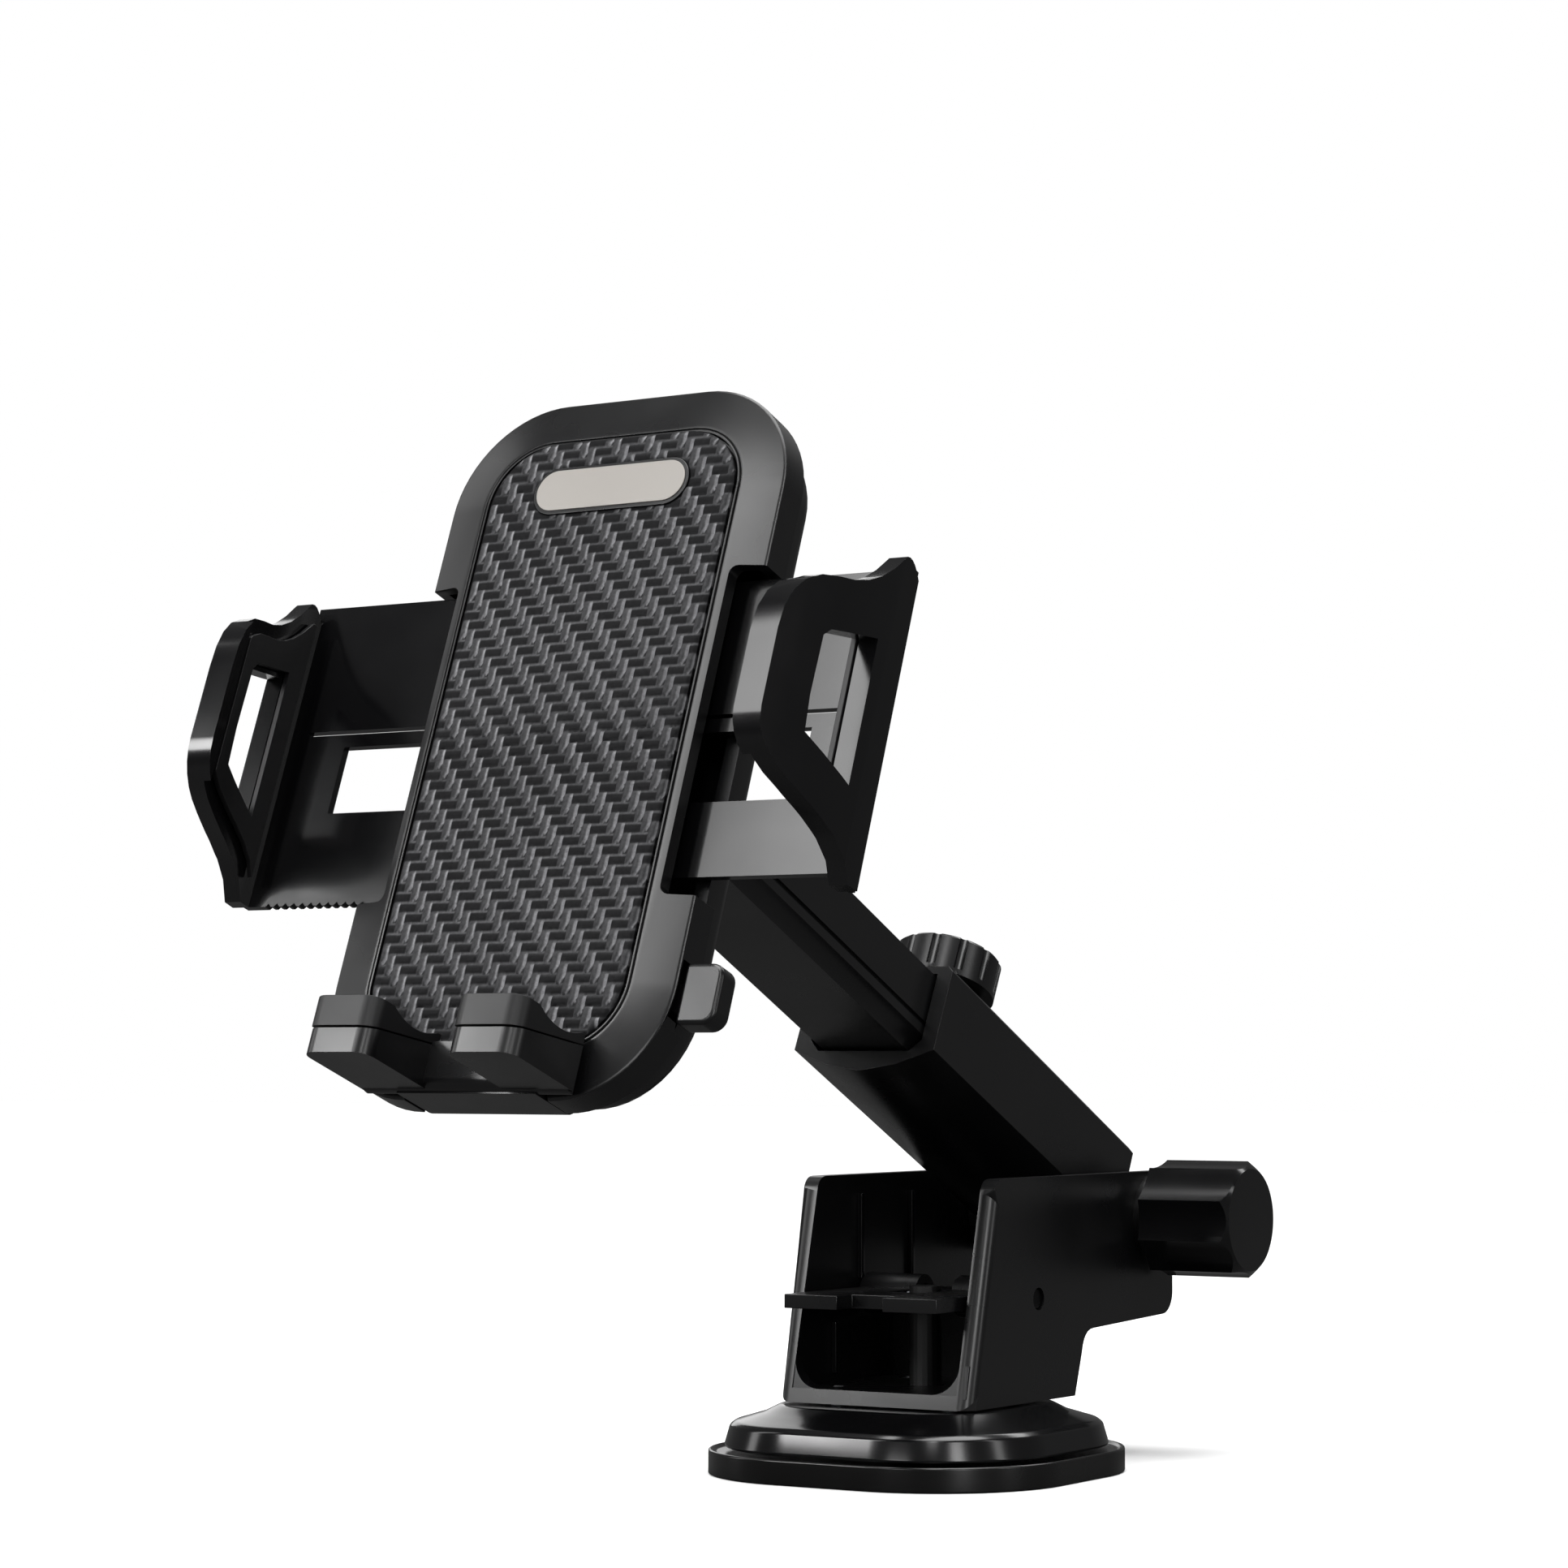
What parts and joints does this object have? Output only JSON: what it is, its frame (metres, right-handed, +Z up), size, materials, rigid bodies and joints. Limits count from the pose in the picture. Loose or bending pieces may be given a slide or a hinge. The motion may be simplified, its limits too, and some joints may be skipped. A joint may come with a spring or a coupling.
{
  "type": "car phone mount",
  "caption": "Suction-base car phone mount with a hinged telescopic arm, a ball joint and a clamping cradle with side jaws and feet.",
  "frame": {"origin": "centre of the suction pad's flat underside", "axes": "+Z up from the pad, -Y the side the cradle faces, +X the side of the hinge knob"},
  "size_m": [0.1148, 0.2057, 0.1738],
  "materials": {
    "satin_abs": "satin moulded ABS",
    "soft_rubber": "smooth suction rubber",
    "firm_rubber": "matt silicone",
    "zinc_steel": "zinc-plated steel",
    "turned_brass": "turned brass insert",
    "embossed_panel": "embossed twill pattern",
    "badge_paint": "warm grey satin paint"
  },
  "bodies": {
    "base": {"suction_pad": "soft_rubber", "base_bell": "satin_abs", "base_housing": "satin_abs", "bell_screw_1": "zinc_steel", "bell_screw_2": "zinc_steel", "bell_screw_3": "zinc_steel", "bell_screw_4": "zinc_steel", "lever_pin": "zinc_steel", "hinge_bolt": "zinc_steel", "hinge_washer_left": "firm_rubber", "hinge_washer_right": "firm_rubber"},
    "stem": {"pull_stem": "satin_abs", "stem_pin": "zinc_steel"},
    "lever": {"lock_lever": "satin_abs"},
    "hinge_knob": {"hinge_knob": "satin_abs", "hinge_knob_insert": "turned_brass"},
    "sleeve": {"arm_sleeve": "satin_abs", "lock_nut": "turned_brass", "pressure_pad": "firm_rubber"},
    "lock_knob": {"lock_knob": "satin_abs", "lock_screw": "zinc_steel"},
    "tube": {"arm_tube": "satin_abs", "ball_stud": "satin_abs"},
    "nut": {"ball_nut": "satin_abs"},
    "cradle": {"front_frame": "satin_abs", "carbon_panel": "embossed_panel", "badge": "badge_paint", "rear_cover": "satin_abs", "cover_screw_1": "zinc_steel", "cover_screw_2": "zinc_steel", "cover_screw_3": "zinc_steel", "cover_screw_4": "zinc_steel", "pinion_axle": "zinc_steel", "clamp_spring": "zinc_steel", "button_spring": "zinc_steel"},
    "left_clamp": {"clamp_left": "satin_abs", "jaw_pad_left": "firm_rubber"},
    "right_clamp": {"clamp_right": "satin_abs", "jaw_pad_right": "firm_rubber"},
    "pinion": {"clamp_pinion": "satin_abs"},
    "button": {"release_button": "satin_abs", "latch_pawl": "satin_abs"},
    "foot": {"foot_bracket": "satin_abs", "foot_cap_left": "firm_rubber", "foot_cap_right": "firm_rubber"}
  },
  "joints": [
    {"name": "lever_tilt", "type": "hinge", "parent": "base", "child": "lever", "pos_m": [0, 0.009, 0.0295], "axis": [1, 0, 0], "range_deg": [0, 27]},
    {"name": "stem_lift", "type": "slide", "parent": "base", "child": "stem", "axis": [0, 0, 1], "range_m": [0, 0.0022]},
    {"name": "hinge_knob_turn", "type": "hinge", "parent": "base", "child": "hinge_knob", "pos_m": [0, 0.0522, 0.0419], "axis": [1, 0, 0], "range_deg": [-270, 0]},
    {"name": "arm_lift", "type": "hinge", "parent": "base", "child": "sleeve", "pos_m": [0, 0.0522, 0.0419], "axis": [1, 0, 0], "range_deg": [-50, 16]},
    {"name": "lock_knob_turn", "type": "hinge", "parent": "sleeve", "child": "lock_knob", "pos_m": [0, 0.00097, 0.06689], "axis": [0, 0.4384, 0.8988], "range_deg": [-270, 0]},
    {"name": "arm_reach", "type": "slide", "parent": "sleeve", "child": "tube", "axis": [0, -0.8988, 0.4384], "range_m": [-0.036, 0.008]},
    {"name": "ball_tilt", "type": "hinge", "parent": "tube", "child": "nut", "pos_m": [0, -0.08192, 0.11138], "axis": [1, 0, 0], "range_deg": [-20, 20]},
    {"name": "cradle_spin", "type": "hinge", "parent": "nut", "child": "cradle", "pos_m": [0, -0.08192, 0.11138], "axis": [0, -0.9354, 0.3535], "continuous": true},
    {"name": "clamp_left_slide", "type": "slide", "parent": "cradle", "child": "left_clamp", "axis": [1, 0, 0], "range_m": [0, 0.024]},
    {"name": "clamp_right_slide", "type": "slide", "parent": "cradle", "child": "right_clamp", "axis": [-1, 0, 0], "range_m": [0, 0.024]},
    {"name": "pinion_turn", "type": "hinge", "parent": "cradle", "child": "pinion", "pos_m": [0, -0.10765, 0.11486], "axis": [0, -0.9354, 0.3535], "range_deg": [-245, 0]},
    {"name": "button_press", "type": "slide", "parent": "cradle", "child": "button", "axis": [-1, 0, 0], "range_m": [0, 0.0022], "stiffness_N_per_m": 400, "deforming": ["button_spring"]},
    {"name": "foot_slide", "type": "slide", "parent": "cradle", "child": "foot", "axis": [0, -0.3535, -0.9354], "range_m": [0, 0.018]}
  ],
  "couplings": [
    {"joint": "clamp_right_slide", "follows": "clamp_left_slide", "ratio": 1},
    {"joint": "pinion_turn", "follows": "clamp_left_slide", "rad_per_m": -175.44},
    {"joint": "stem_lift", "follows": "lever_tilt", "m_per_rad": 0.00466}
  ]
}
